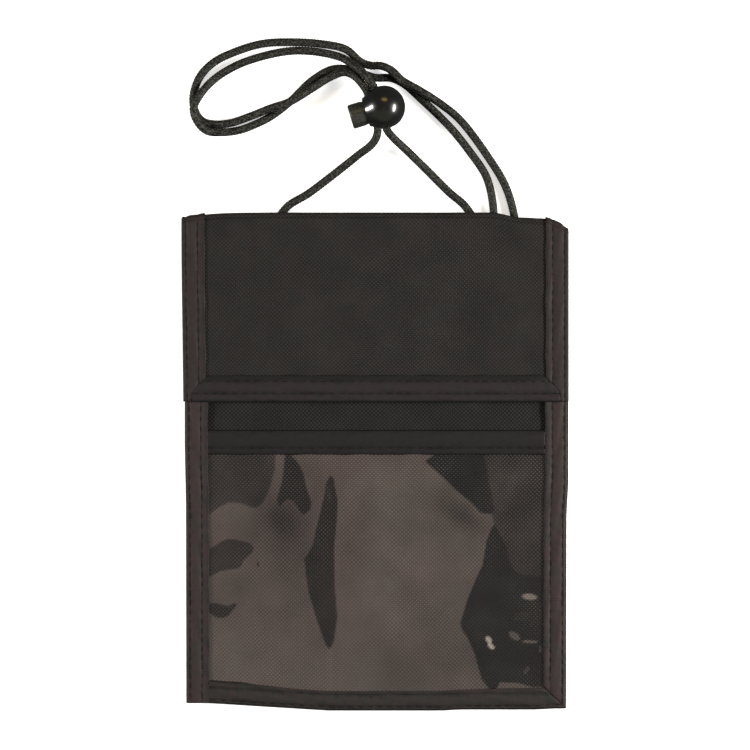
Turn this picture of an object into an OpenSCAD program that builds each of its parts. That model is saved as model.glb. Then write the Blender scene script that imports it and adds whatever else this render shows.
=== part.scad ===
// Badge wallet lying on its back: one sheet of dark fabric folded over the top into a flap,
// a fabric pocket and a clear pocket on its front, bound all round with ribbed tape,
// and a neck cord that runs through a spring lock. +Y is the top, +Z the front.
// The origin is below the middle of the wallet, on the surface that it lies on.

/* [Body] */
// Width of the body over its side bindings
body_w = 150.5; // [130:0.5:180]
// Height of the closed wallet from its bottom edge to its top fold
body_h = 197; // [180:0.5:230]
// How far the mouth of the fabric pocket sits below the top fold
pocket_drop = 18.5; // [12:0.5:40]
// How far the mouth of the clear pocket sits below the top fold
window_drop = 86.2; // [70:0.1:120]
// Free space between two panels that a card slides between
pocket_gap = 0.1; // [0.05:0.05:0.5]

/* [Flap] */
// Width of the flap over its side bindings
flap_w = 153.2; // [130:0.1:185]
// Length of the flap from the top fold to its lower edge
flap_len = 74.7; // [45:0.1:110]
// Space between the closed flap and the body below it
flap_gap = 0.35; // [0.25:0.05:1]

/* [Sheets and tape] */
// Thickness of the fabric
fabric_t = 0.5; // [0.3:0.05:1.2]
// Thickness of the clear vinyl
vinyl_t = 0.3; // [0.15:0.05:0.8]
// Thickness of the binding tape
tape_t = 0.35; // [0.2:0.05:0.8]
// Width of the binding tape once it is folded over an edge
tape_w = 9; // [7.5:0.5:14]
// Width of the folded tape along the mouth of the clear pocket
window_tape_w = 9.5; // [7.5:0.5:14]

/* [Seams] */
// Width of a line of stitches
thread_w = 0.6; // [0.3:0.1:1]
// How far a line of stitches stands out of its tape
thread_h = 0.15; // [0.05:0.05:0.2]
// Distance of the outer line of stitches from the bound edge
seam_outer = 1.5; // [1:0.1:2.5]
// Distance of the inner line of stitches from the bound edge
seam_inner = 6.2; // [4:0.1:7]
// Distance of the flap's lower line of stitches from its lower edge
flap_seam_low = 3.2; // [2:0.1:4]
// Distance of the flap's upper line of stitches from its lower edge
flap_seam_high = 8; // [5:0.1:8.5]
// Distance of the clear pocket's line of stitches from its mouth
window_seam = 6.9; // [4:0.1:7]

/* [Lying on the cord] */
// Height of the back above the surface where the cord lies below it
rise = 3.9; // [3.6:0.1:8]
// Length of the bottom of the wallet that lies flat
flat_len = 12; // [6:0.5:30]
// Length over which the wallet climbs from flat to its full height
climb_len = 58; // [40:1:90]

/* [Neck cord] */
// Diameter of the round braided cord
cord_d = 3.1; // [2:0.1:3.2]
// Distance of each sewn cord end from the middle of the wallet
tab_x = 41.5; // [20:0.5:60]
// Width of the tab that holds a cord end
tab_w = 9; // [8:0.5:14]
// Length of the tab along the cord
tab_len = 12; // [8:0.5:20]
// Distance of the tab below the top fold
tab_drop = 9.5; // [7:0.5:20]
// Length of the closed end of the tab beyond the cord's end
tab_end = 1; // [0.5:0.1:3]
// Clearance between the cord and its tab
tab_clear = 0.05; // [0.05:0.05:0.2]

/* [Cord lock] */
// Diameter of the ball
lock_d = 17.2; // [16:0.1:24]
// Place of the ball across the wallet
lock_x = 3; // [-30:0.5:30]
// Place of the ball above the middle of the wallet
lock_y = 140.4; // [130:0.1:190]
// Turn of the ball about the vertical
lock_turn = 17; // [-40:1:40]
// Diameter of the push button
button_d = 9.7; // [8:0.1:10]
// How far the button stands out of the lip
button_out = 6.3; // [4:0.1:8]
// How far the button can be pressed in
button_travel = 2.5; // [1:0.1:2.6]
// Running clearance round the button
button_clear = 0.1; // [0.05:0.01:0.3]
// Bevel at the button's outer edge
button_bevel = 0.6; // [0.2:0.1:1.5]
// Wall of the button behind its cord slot
button_wall = 1.2; // [0.8:0.1:1.4]
// Space left behind the pressed button
button_rest = 0.3; // [0.1:0.05:0.5]
// Width of the lip round the button
lip_w = 0.8; // [0.8:0.1:2]
// How far the lip's face lies from the ball's centre
lip_out = 7.4; // [7.2:0.1:8.4]
// How far the middle of the cord slot lies from the ball's centre
slot_x = -2.9; // [-3:0.1:-1]
// Clearance between a cord and the ends of the slot
slot_clear = 0.15; // [0.05:0.05:0.4]
// Clearance between a cord and the flat sides of the slot
slot_side_clear = 0.25; // [0.1:0.05:0.6]
// Space between the two cords in the slot
strand_gap = 0.2; // [0.1:0.05:0.5]

/* [Lock spring] */
// Diameter of the spring's wire
wire_d = 0.6; // [0.3:0.05:0.7]
// Middle diameter of the spring
spring_d = 4.8; // [3.5:0.1:5.4]
// Number of turns of the spring
spring_turns = 3; // [2:0.5:4]
// Space round the spring in its pocket
spring_clear = 0.5; // [0.2:0.1:0.8]
// Depth of the spring's own pocket beyond the button's bore
spring_pocket = 2.2; // [1.5:0.1:2.4]

/* [Hidden] */
$fn = 64;

// Heights of the layers above the underside, from the back to the front
back_z = tape_t;
front_z = back_z + fabric_t + pocket_gap + tape_t;
window_z = front_z + fabric_t + pocket_gap + tape_t;
body_t = window_z + vinyl_t + tape_t;
flap_z = body_t + flap_gap + tape_t;
flap_top = flap_z + fabric_t + tape_t;

// Places along the wallet
top_y = body_h / 2;
bottom_y = -body_h / 2;
fold_r = (flap_z + fabric_t - back_z) / 2;
fold_y = top_y - fold_r - tape_t;
fold_z = rise + (flap_z + fabric_t + back_z) / 2;
flap_y = top_y - flap_len;
pocket_y = top_y - pocket_drop;
window_y = top_y - window_drop;

// Edges of the sheets inside their bindings
body_x = body_w / 2;
flap_x = flap_w / 2;
body_in = body_x - tape_w;
flap_in = flap_x - tape_w;

// The climb from the flat bottom to the full height
climb_y = bottom_y + flat_len;
climb_steps = 12;
// A layer's ends are cut a little past the part that is kept
over = 1;
tall = rise + flap_top + over;

// The lock, with its button towards -X before it is turned
lock_r = lock_d / 2;
button_r = button_d / 2;
bore_r = button_r + button_clear;
strand_pitch = cord_d + strand_gap;
strands_w = strand_pitch + cord_d + 2 * slot_clear;
slot_w = strands_w + button_travel;
slot_h = cord_d + 2 * slot_side_clear;
slot_left = slot_x - strands_w / 2;
button_slot_left = slot_left - button_travel;
button_end = slot_left + strands_w + button_wall;
bore_end = button_end + button_travel + button_rest;
spring_end = bore_end + spring_pocket;

// Points of the neck cord, from its left end through the lock, out to the left and round,
// over to the right, under the wallet and back the same way to its right end
route = [
    [-41.5, 78, 2.1], [-41.5, 90, 2.1], [-35.9, 100.6, 1.6], [-26.7, 106.6, 1.6],
    [-13.9, 116.3, 2.2], [-7, 121.7, 4.6], [-1.7, 125.7, 7], [0.3, 129, 8.2], [0.6, 132.9, 8.6],
    [-1.3, 139.1, 8.6], [-3.7, 146.9, 8.6], [-4.9, 148.7, 8.3], [-7.1, 151.5, 7], [-9.7, 153.6, 5.8], [-12.9, 154.5, 4.8],
    [-18.7, 152.4, 3.7], [-26, 147.8, 4.2], [-34.2, 142.8, 4.9], [-42.1, 140.1, 4.4],
    [-50, 137.1, 2.6], [-58, 134.5, 1.7], [-64.2, 134, 1.6], [-68.9, 135.2, 1.6],
    [-71.8, 138.8, 1.6], [-72.7, 144.6, 1.6], [-70.2, 152.7, 1.6], [-64.6, 158.6, 1.6],
    [-55.9, 162.9, 1.6], [-45, 166.1, 1.6], [-34, 166.7, 1.6], [-22, 166, 1.6],
    [-12.1, 163.9, 1.6], [-6, 158.8, 1.6], [-2.2, 157.4, 2], [2, 157.2, 3],
    [6.2, 155.2, 4.5], [10.3, 151.3, 5], [17, 147.5, 4.5], [25.4, 142.3, 2.3],
    [33.2, 136, 1.6], [44, 121.9, 1.6], [52, 108.2, 1.6], [56, 91, 1.6], [57, 60, 1.6],
    [56.5, 25, 1.6], [54.5, -3, 1.6], [51, -11.8, 1.6], [43, -15.5, 1.6], [35, -11.8, 1.6],
    [31.5, -3, 1.6], [35, 26, 1.6], [42.2, 50, 1.6], [46.4, 72, 1.6],
    [47, 89, 1.6], [46.4, 103, 1.6], [43.8, 113.3, 1.6], [37.1, 123.4, 1.6],
    [29.6, 132.7, 1.6], [17.6, 144.4, 1.6], [11.2, 150, 1.6], [6.1, 152.4, 1.6],
    [-0.4, 152.6, 1.6], [-7.2, 154.9, 1.6], [-12.2, 156.1, 1.6], [-18, 155.7, 1.6],
    [-25.8, 151.1, 1.6], [-34, 143.2, 1.6], [-41.8, 137.2, 1.6], [-48.1, 134, 1.6],
    [-54, 131.8, 1.6], [-61, 130.8, 2.3], [-67, 131.3, 3.4], [-70.9, 135, 4.8],
    [-72.4, 140, 5.1], [-70.3, 145, 5], [-64.5, 151.8, 2], [-56, 157.2, 1.6],
    [-45.8, 160.9, 1.6], [-34, 163.2, 1.6], [-24, 162.9, 1.6], [-14.3, 160.7, 2.4],
    [-8.8, 157.3, 5.2], [-5, 153.9, 8.1], [-2.1, 150.3, 8.8], [-0.8, 148.2, 8.6], [1.8, 140.1, 8.6],
    [4.4, 131.4, 8.6], [6.7, 128.5, 7.7], [12.4, 123.3, 4.8], [18.8, 117.2, 2.4],
    [29.1, 107, 1.6], [35.8, 101, 1.6], [41.5, 90, 2.1], [41.5, 78, 2.1]
];
cord_sides = 8;
wire_sides = 6;
wire_rings = 8;

fabric_colour = "#26241f";
tape_colour = "#3a302c";
vinyl_colour = "#5c544e";
thread_colour = "#1c1a18";
cord_colour = "#3b3b30";

// Height of the underside above the surface at a place along the wallet
function lift(y) =
    let (share = max(0, min(1, (y - climb_y) / climb_len)))
    rise * (1 - cos(180 * share)) / 2;

// Places along a layer: its two ends, and the steps of the climb that lie between them
function stations(y0, y1) = concat(
    [y0],
    [for (k = [0:climb_steps]) let (y = climb_y + climb_len * k / climb_steps)
        if (y > y0 && y < y1) y],
    [y1]
);

// A sheet from x0 to x1 and y0 to y1, between the heights z0 and z1 above the underside
module sheet(x0, x1, y0, y1, z0, z1) {
    places = stations(y0, y1);
    under = [for (y = places) [y, lift(y) + z0]];
    above = [for (k = [len(places) - 1:-1:0]) [places[k], lift(places[k]) + z1]];
    translate([x0, 0, 0])
        rotate([90, 0, 90])
            linear_extrude(height = x1 - x0) polygon(concat(under, above));
}

// Tape folded over a side edge at x_edge, reaching in to x_in, round layers from z0 to z1
module side_tape(x_edge, x_in, y0, y1, z0, z1) {
    inward = x_in > x_edge ? 1 : -1;
    wall = x_edge + inward * tape_t;
    sheet(min(x_edge, wall), max(x_edge, wall), y0, y1, z0 - tape_t, z1 + tape_t);
    sheet(min(x_edge, x_in), max(x_edge, x_in), y0, y1, z0 - tape_t, z0);
    sheet(min(x_edge, x_in), max(x_edge, x_in), y0, y1, z1, z1 + tape_t);
}

// Tape folded over a cross edge at y_edge, reaching to y_in, round layers from z0 to z1
module cross_tape(x0, x1, y_edge, y_in, z0, z1) {
    inward = y_in > y_edge ? 1 : -1;
    wall = y_edge + inward * tape_t;
    sheet(x0, x1, min(y_edge, wall), max(y_edge, wall), z0 - tape_t, z1 + tape_t);
    sheet(x0, x1, min(y_edge, y_in), max(y_edge, y_in), z0 - tape_t, z0);
    sheet(x0, x1, min(y_edge, y_in), max(y_edge, y_in), z1, z1 + tape_t);
}

// Keeps what lies over an outline drawn in plan
module mitred(outline) {
    intersection() {
        union() children();
        linear_extrude(height = tall) polygon(outline);
    }
}

// A line of stitches along Y on top of a tape, and one along X
module side_seam(x, y0, y1, z) {
    sheet(x - thread_w / 2, x + thread_w / 2, y0, y1, z, z + thread_h);
}

module cross_seam(x0, x1, y, z) {
    sheet(x0, x1, y - thread_w / 2, y + thread_w / 2, z, z + thread_h);
}

// Half a tube about the fold, from x0 to x1 between two radii
module half_fold(x0, x1, r_in, r_out) {
    translate([x0, fold_y, fold_z])
        rotate([0, 90, 0])
            intersection() {
                difference() {
                    cylinder(h = x1 - x0, r = r_out);
                    translate([0, 0, -over]) cylinder(h = x1 - x0 + 2 * over, r = r_in);
                }
                translate([-r_out - over, 0, -over])
                    cube([2 * (r_out + over), r_out + over, x1 - x0 + 2 * over]);
            }
}

function unit(v) = v / norm(v);
function heading(points, i) =
    unit(points[min(i + 1, len(points) - 1)] - points[max(i - 1, 0)]);
function ring(points, i, r, sides, up) =
    let (along = heading(points, i), side = unit(cross(along, up)), rest = cross(side, along))
    [for (k = [0:sides - 1])
        points[i] + r * (cos(360 * k / sides) * side + sin(360 * k / sides) * rest)];

// A closed tube along a list of points
module tube(points, r, sides, up) {
    last = len(points) - 1;
    corners = [for (i = [0:last]) each ring(points, i, r, sides, up)];
    walls = [for (i = [0:last - 1]) for (k = [0:sides - 1])
        let (a = i * sides + k, b = i * sides + (k + 1) % sides)
        each [[a, a + sides, b + sides], [a, b + sides, b]]];
    first_end = [[for (k = [0:sides - 1]) k]];
    last_end = [[for (k = [sides - 1:-1:0]) last * sides + k]];
    polyhedron(points = corners, faces = concat(walls, first_end, last_end));
}

module back_panel() {
    color(fabric_colour)
        sheet(-body_x + tape_t, body_x - tape_t, bottom_y + tape_t, fold_y, back_z, back_z + fabric_t);
}

module flap_panel() {
    color(fabric_colour)
        sheet(-flap_x + tape_t, flap_x - tape_t, flap_y + tape_t, fold_y, flap_z, flap_z + fabric_t);
}

module top_fold() {
    color(fabric_colour) half_fold(-flap_x + tape_t, flap_x - tape_t, fold_r - fabric_t, fold_r);
}

module front_panel() {
    color(fabric_colour)
        sheet(-body_x + tape_t, body_x - tape_t, bottom_y + tape_t, pocket_y - tape_t,
            front_z, front_z + fabric_t);
}

module front_panel_binding() {
    color(tape_colour)
        cross_tape(-body_in, body_in, pocket_y, pocket_y - tape_w, front_z, front_z + fabric_t);
}

module clear_window() {
    color(vinyl_colour, 0.5)
        sheet(-body_x + tape_t, body_x - tape_t, bottom_y + tape_t, window_y - tape_t,
            window_z, window_z + vinyl_t);
}

module window_binding() {
    color(tape_colour)
        cross_tape(-body_in, body_in, window_y, window_y - window_tape_w,
            window_z, window_z + vinyl_t);
}

module body_binding_left() {
    color(tape_colour)
        side_tape(-body_x, -body_in, bottom_y, fold_y, back_z, window_z + vinyl_t);
}

module body_binding_right() {
    color(tape_colour)
        mitred([[body_in, fold_y], [body_in, bottom_y + tape_w], [body_x, bottom_y], [body_x, fold_y]])
            side_tape(body_x, body_in, bottom_y, fold_y, back_z, window_z + vinyl_t);
}

module body_binding_bottom() {
    color(tape_colour)
        mitred([[-body_in, bottom_y], [body_x, bottom_y],
            [body_in, bottom_y + tape_w], [-body_in, bottom_y + tape_w]])
            cross_tape(-body_in, body_x, bottom_y, bottom_y + tape_w, back_z, window_z + vinyl_t);
}

// The flap's side tape, towards -X or +X
module flap_side(way) {
    mitred([[way * flap_x, flap_y], [way * flap_in, flap_y + tape_w],
        [way * flap_in, fold_y], [way * flap_x, fold_y]])
        side_tape(way * flap_x, way * flap_in, flap_y, fold_y, flap_z, flap_z + fabric_t);
}

module flap_binding_left() {
    color(tape_colour) flap_side(-1);
}

module flap_binding_right() {
    color(tape_colour) flap_side(1);
}

module flap_binding_bottom() {
    color(tape_colour)
        mitred([[-flap_x, flap_y], [flap_x, flap_y],
            [flap_in, flap_y + tape_w], [-flap_in, flap_y + tape_w]])
            cross_tape(-flap_x, flap_x, flap_y, flap_y + tape_w, flap_z, flap_z + fabric_t);
}

// The tape's run round the fold, with x0 to x1 across the tape and its wall at x_wall
module fold_tape(x0, x1, x_wall) {
    half_fold(x0, x1, fold_r, fold_r + tape_t);
    half_fold(x0, x1, fold_r - fabric_t - tape_t, fold_r - fabric_t);
    half_fold(x_wall, x_wall + tape_t, fold_r - fabric_t - tape_t, fold_r + tape_t);
}

module fold_binding_left() {
    color(tape_colour) fold_tape(-flap_x, -flap_in, -flap_x);
}

module fold_binding_right() {
    color(tape_colour) fold_tape(flap_in, flap_x, flap_x - tape_t);
}

module front_panel_stitching() {
    color(thread_colour)
        cross_seam(-body_in, body_in, pocket_y - seam_inner, front_z + fabric_t + tape_t);
}

module window_stitching() {
    color(thread_colour) cross_seam(-body_in, body_in, window_y - window_seam, body_t);
}

module body_stitching_left() {
    color(thread_colour) {
        side_seam(-body_x + seam_outer, bottom_y + seam_outer, fold_y, body_t);
        side_seam(-body_x + seam_inner, bottom_y + seam_outer, fold_y, body_t);
    }
}

module body_stitching_right() {
    color(thread_colour) {
        side_seam(body_x - seam_outer, bottom_y + seam_outer + thread_w, fold_y, body_t);
        side_seam(body_x - seam_inner, bottom_y + seam_inner + thread_w, fold_y, body_t);
    }
}

module body_stitching_bottom() {
    color(thread_colour) {
        cross_seam(-body_in, body_x - seam_outer, bottom_y + seam_outer, body_t);
        cross_seam(-body_in, body_x - seam_inner, bottom_y + seam_inner, body_t);
    }
}

// The two lines of stitches on the flap's side tape, towards -X or +X
module flap_side_seams(way) {
    side_seam(way * (flap_x - seam_outer), flap_y + flap_seam_low + thread_w, fold_y, flap_top);
    side_seam(way * (flap_x - seam_inner), flap_y + flap_seam_high + thread_w, fold_y, flap_top);
}

module flap_stitching_left() {
    color(thread_colour) flap_side_seams(-1);
}

module flap_stitching_right() {
    color(thread_colour) flap_side_seams(1);
}

module flap_stitching_bottom() {
    color(thread_colour) {
        cross_seam(-flap_x + seam_outer, flap_x - seam_outer, flap_y + flap_seam_low, flap_top);
        cross_seam(-flap_x + seam_inner, flap_x - seam_inner, flap_y + flap_seam_high, flap_top);
    }
}

module neck_cord() {
    color(cord_colour) tube(route, cord_d / 2, cord_sides, [0, 0, 1]);
}

// A tab of folded tape below the back, sewn down by its two wings, round a cord end at x
module cord_tab(x) {
    tab_top = rise + back_z;
    hollow_r = cord_d / 2 + tab_clear;
    shell_r = hollow_r + tape_t;
    cord_z = tab_top / 2;
    translate([x, top_y - tab_drop, 0])
        rotate([90, 0, 0])
            difference() {
                linear_extrude(height = tab_len)
                    polygon([
                        [-tab_w / 2, tab_top], [-tab_w / 2, tab_top - tape_t],
                        [-shell_r, tab_top - tape_t], [-shell_r, cord_z], [-cord_d / 2, 0],
                        [cord_d / 2, 0], [shell_r, cord_z], [shell_r, tab_top - tape_t],
                        [tab_w / 2, tab_top - tape_t], [tab_w / 2, tab_top]
                    ]);
                translate([0, cord_z, -over])
                    cylinder(h = tab_len - tab_end + over, r = hollow_r);
            }
}

module cord_tab_left() {
    color(tape_colour) cord_tab(-tab_x);
}

module cord_tab_right() {
    color(tape_colour) cord_tab(tab_x);
}

// Puts a piece of the lock, modelled about the ball's centre, in its place
module in_lock() {
    translate([lock_x, lock_y, lock_r]) rotate([0, 0, lock_turn]) children();
}

// A cylinder along X from x0 to x1
module rod(x0, x1, r) {
    translate([x0, 0, 0]) rotate([0, 90, 0]) cylinder(h = x1 - x0, r = r);
}

// A round-ended slot along Y, from x0 for a width w
module cord_slot(x0, w) {
    slot_r = slot_h / 2;
    reach = lock_r + over;
    for (x = [x0 + slot_r, x0 + w - slot_r])
        translate([x, reach, 0]) rotate([90, 0, 0]) cylinder(h = 2 * reach, r = slot_r);
    translate([x0 + slot_r, -reach, -slot_r]) cube([w - slot_h, 2 * reach, slot_h]);
}

module lock_body() {
    color("#101012")
        in_lock()
            difference() {
                union() {
                    sphere(r = lock_r);
                    rod(-lip_out, 0, bore_r + lip_w);
                }
                rod(-lock_r - over, bore_end, bore_r);
                rod(0, spring_end, (spring_d + wire_d) / 2 + spring_clear);
                cord_slot(slot_left, slot_w);
            }
}

module lock_button() {
    color("#3c3a36")
        in_lock()
            difference() {
                translate([-lip_out - button_out, 0, 0])
                    rotate([0, 90, 0])
                        rotate_extrude()
                            polygon([
                                [0, 0], [button_r - button_bevel, 0], [button_r, button_bevel],
                                [button_r, button_end + lip_out + button_out],
                                [0, button_end + lip_out + button_out]
                            ]);
                cord_slot(button_slot_left, slot_w);
            }
}

module lock_spring() {
    turns_from = button_end + wire_d / 2;
    turns_len = spring_end - wire_d - button_end;
    steps = spring_turns * wire_rings;
    coil = [for (k = [0:steps]) let (angle = 360 * k / wire_rings)
        [turns_from + turns_len * k / steps, spring_d / 2 * cos(angle), spring_d / 2 * sin(angle)]];
    color("silver") in_lock() tube(coil, wire_d / 2, wire_sides, [1, 0, 0]);
}

back_panel();
flap_panel();
top_fold();
front_panel();
front_panel_binding();
clear_window();
window_binding();
body_binding_left();
body_binding_right();
body_binding_bottom();
flap_binding_left();
flap_binding_right();
flap_binding_bottom();
fold_binding_left();
fold_binding_right();
front_panel_stitching();
window_stitching();
body_stitching_left();
body_stitching_right();
body_stitching_bottom();
flap_stitching_left();
flap_stitching_right();
flap_stitching_bottom();
neck_cord();
cord_tab_left();
cord_tab_right();
lock_body();
lock_button();
lock_spring();
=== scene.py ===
import math

import bpy
import numpy as np
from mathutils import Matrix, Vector


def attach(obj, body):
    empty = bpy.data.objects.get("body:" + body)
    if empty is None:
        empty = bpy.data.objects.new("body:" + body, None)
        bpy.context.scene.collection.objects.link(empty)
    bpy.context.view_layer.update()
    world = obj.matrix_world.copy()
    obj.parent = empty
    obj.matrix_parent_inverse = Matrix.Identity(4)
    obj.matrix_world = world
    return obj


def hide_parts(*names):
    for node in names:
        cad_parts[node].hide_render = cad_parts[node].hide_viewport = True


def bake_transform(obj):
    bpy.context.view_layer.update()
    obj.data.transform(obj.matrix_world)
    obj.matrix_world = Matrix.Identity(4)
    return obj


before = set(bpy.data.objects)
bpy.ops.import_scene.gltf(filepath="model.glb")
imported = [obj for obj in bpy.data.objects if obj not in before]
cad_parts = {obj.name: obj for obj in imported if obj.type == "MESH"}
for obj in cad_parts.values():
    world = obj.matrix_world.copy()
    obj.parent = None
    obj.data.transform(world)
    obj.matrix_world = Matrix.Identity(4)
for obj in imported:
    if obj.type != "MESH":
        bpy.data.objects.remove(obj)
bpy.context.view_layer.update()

# Studio: a pale table with a soft lamp at each side, a dim panel overhead for the clear
# pocket to mirror, and a camera straight above the wallet with a long lens.
MM = 0.001
VIEW_MIDDLE = Vector((-0.4, 34.3, 5)) * MM
VIEW_WIDTH = 297.75 * MM
LENS, SENSOR = 200, 36
TABLE_WIDTH = 9
LAMP_DISTANCE = 1.2
PANEL_Y, PANEL_HEIGHT = -0.32, 2.2
LAMP_WHITE = (1, 0.98, 0.95)

bpy.ops.object.select_all(action="DESELECT")
camera_height = VIEW_MIDDLE.z + VIEW_WIDTH * LENS / SENSOR
bpy.ops.object.camera_add(location=(VIEW_MIDDLE.x, VIEW_MIDDLE.y, camera_height), rotation=(0, 0, 0))
camera = bpy.context.object
camera.data.lens = LENS
camera.data.sensor_width = SENSOR
camera.data.clip_end = 30
bpy.context.scene.camera = camera
bpy.context.scene.view_settings.view_transform = "Standard"


def lamp(name, place, aim, size, radiance, colour, shape="ELLIPSE"):
    """A flat lamp at a place that shines towards a point. Its first size lies level."""
    bpy.ops.object.light_add(type="AREA", location=place)
    light = bpy.context.object
    light.name = name
    light.rotation_euler = (Vector(aim) - Vector(place)).to_track_quat("-Z", "Y").to_euler()
    light.data.shape = shape
    light.data.size, light.data.size_y = size
    area = size[0] * size[1] * (1 if shape == "RECTANGLE" else math.pi / 4)
    light.data.energy = radiance * math.pi * area
    light.data.color = colour
    light.visible_camera = False


def round_the_ball(azimuth, from_vertical):
    """A point at the lamps' distance from the ball of the cord lock."""
    turn, tip = math.radians(azimuth), math.radians(from_vertical)
    way = Vector((math.sin(tip) * math.cos(turn), math.sin(tip) * math.sin(turn), math.cos(tip)))
    return BALL + LAMP_DISTANCE * way


BALL = Vector((3, 140.4, 8.6)) * MM
lamp("left_lamp", round_the_ball(181, 65), BALL, (0.36, 0.28), 66, LAMP_WHITE)
lamp("right_lamp", round_the_ball(-6, 59), BALL, (0.75, 0.33), 46, LAMP_WHITE)
lamp("small_warm_lamp", round_the_ball(84, 38), BALL, (0.62, 0.42), 3, (1, 0.74, 0.22))
lamp("lower_fill", round_the_ball(268, 52), BALL, (2.4, 1.5), 0.22, (1, 1, 0.8))
lamp("overhead_panel", (0, PANEL_Y, PANEL_HEIGHT), (0, PANEL_Y, 0), (0.73, 0.62), 0.2, (1, 0.84, 0.76),
    "RECTANGLE")

bpy.ops.mesh.primitive_plane_add(size=TABLE_WIDTH, location=(0, 0, 0))
table = bpy.context.object
table.name = "table"
table.visible_glossy = False
white = bpy.data.materials.new("white_table")
white.use_nodes = True
sockets = white.node_tree.nodes["Principled BSDF"].inputs
sockets["Base Color"].default_value = (0.9, 0.9, 0.9, 1)
sockets["Roughness"].default_value = 0.8
sockets["Emission Color"].default_value = (1, 1, 1, 1)
sockets["Emission Strength"].default_value = 0.6
table.data.materials.append(white)

world = bpy.context.scene.world or bpy.data.worlds.new("studio")
bpy.context.scene.world = world
world.use_nodes = True
sockets = world.node_tree.nodes["Background"].inputs
sockets["Color"].default_value = (0.9, 0.95, 1, 1)
sockets["Strength"].default_value = 0.1


# Neck cord: a round braid of dark polyester, sewn by its two ends to the back of the wallet.
# It runs through the lock, makes a loose loop to the left and goes below the wallet in a bight.
CORD_WIDTH = 3.4
CORD_RINGS = 0.28
CORD_SIDES = 24
CURVE_STEPS = 12
CARRIERS = 6
BRAID_PITCH = 1.2
BRAID_DEPTH = 0.26
ROUTE = [
    (-41.5, 78, 2.1), (-41.5, 90, 2.1), (-35.9, 100.6, 1.6), (-26.7, 106.6, 1.6),
    (-13.9, 116.3, 2.2), (-7, 121.7, 4.6), (-1.7, 125.7, 7), (0.3, 129, 8.2), (0.6, 132.9, 8.6),
    (-1.3, 139.1, 8.6), (-3.7, 146.9, 8.6), (-4.9, 148.7, 8.3), (-7.1, 151.5, 7),
    (-9.7, 153.6, 5.8), (-12.9, 154.5, 4.8),
    (-18.7, 152.4, 3.7), (-26, 147.8, 4.2), (-34.2, 142.8, 4.9), (-42.1, 140.1, 4.4),
    (-50, 137.1, 2.6), (-58, 134.5, 1.7), (-64.2, 134, 1.6), (-68.9, 135.2, 1.6),
    (-71.8, 138.8, 1.6), (-72.7, 144.6, 1.6), (-70.2, 152.7, 1.6), (-64.6, 158.6, 1.6),
    (-55.9, 162.9, 1.6), (-45, 166.1, 1.6), (-34, 166.7, 1.6), (-22, 166, 1.6),
    (-12.1, 163.9, 1.6), (-6, 158.8, 1.6), (-2.2, 157.4, 2), (2, 157.2, 3),
    (6.2, 155.2, 4.5), (10.3, 151.3, 5), (17, 147.5, 4.5), (25.4, 142.3, 2.3),
    (33.2, 136, 1.6), (44, 121.9, 1.6), (52, 108.2, 1.6), (56, 91, 1.6), (57, 60, 1.6),
    (56.5, 25, 1.6), (54.5, -3, 1.6), (51, -11.8, 1.6), (43, -15.5, 1.6), (35, -11.8, 1.6),
    (31.5, -3, 1.6), (35, 26, 1.6), (42.2, 50, 1.6), (46.4, 72, 1.6),
    (47, 89, 1.6), (46.4, 103, 1.6), (43.8, 113.3, 1.6), (37.1, 123.4, 1.6),
    (29.6, 132.7, 1.6), (17.6, 144.4, 1.6), (11.2, 150, 1.6), (6.1, 152.4, 1.6),
    (-0.4, 152.6, 1.6), (-7.2, 154.9, 1.6), (-12.2, 156.1, 1.6), (-18, 155.7, 1.6),
    (-25.8, 151.1, 1.6), (-34, 143.2, 1.6), (-41.8, 137.2, 1.6), (-48.1, 134, 1.6),
    (-54, 131.8, 1.6), (-61, 130.8, 2.3), (-67, 131.3, 3.4), (-70.9, 135, 4.8),
    (-72.4, 140, 5.1), (-70.3, 145, 5), (-64.5, 151.8, 2), (-56, 157.2, 1.6),
    (-45.8, 160.9, 1.6), (-34, 163.2, 1.6), (-24, 162.9, 1.6), (-14.3, 160.7, 2.4),
    (-8.8, 157.3, 5.2), (-5, 153.9, 8.1), (-2.1, 150.3, 8.8), (-0.8, 148.2, 8.6), (1.8, 140.1, 8.6),
    (4.4, 131.4, 8.6), (6.7, 128.5, 7.7), (12.4, 123.3, 4.8), (18.8, 117.2, 2.4),
    (29.1, 107, 1.6), (35.8, 101, 1.6), (41.5, 90, 2.1), (41.5, 78, 2.1),
]


def rounded(points):
    """Points on a smooth curve through the route's points (a centripetal spline)."""
    ends = np.vstack([2 * points[0] - points[1], points, 2 * points[-1] - points[-2]])
    curve = []
    for p0, p1, p2, p3 in zip(ends, ends[1:], ends[2:], ends[3:]):
        t1 = np.linalg.norm(p1 - p0) ** 0.5
        t2 = t1 + np.linalg.norm(p2 - p1) ** 0.5
        t3 = t2 + np.linalg.norm(p3 - p2) ** 0.5
        for t in np.linspace(t1, t2, CURVE_STEPS, endpoint=False):
            a1 = p0 + (p1 - p0) * t / t1
            a2 = p1 + (p2 - p1) * (t - t1) / (t2 - t1)
            a3 = p2 + (p3 - p2) * (t - t2) / (t3 - t2)
            b1 = a1 + (a2 - a1) * t / t2
            b2 = a2 + (a3 - a2) * (t - t1) / (t3 - t1)
            curve.append(b1 + (b2 - b1) * (t - t1) / (t2 - t1))
    return np.vstack([curve, points[-1]])


def evenly(points, step):
    """The same line with its points a step apart, and how far along it each lies."""
    far = np.concatenate([[0], np.cumsum(np.linalg.norm(np.diff(points, axis=0), axis=1))])
    places = np.linspace(0, far[-1], max(2, round(far[-1] / step)))
    return np.stack([np.interp(places, far, points[:, k]) for k in range(3)], 1), places


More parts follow.
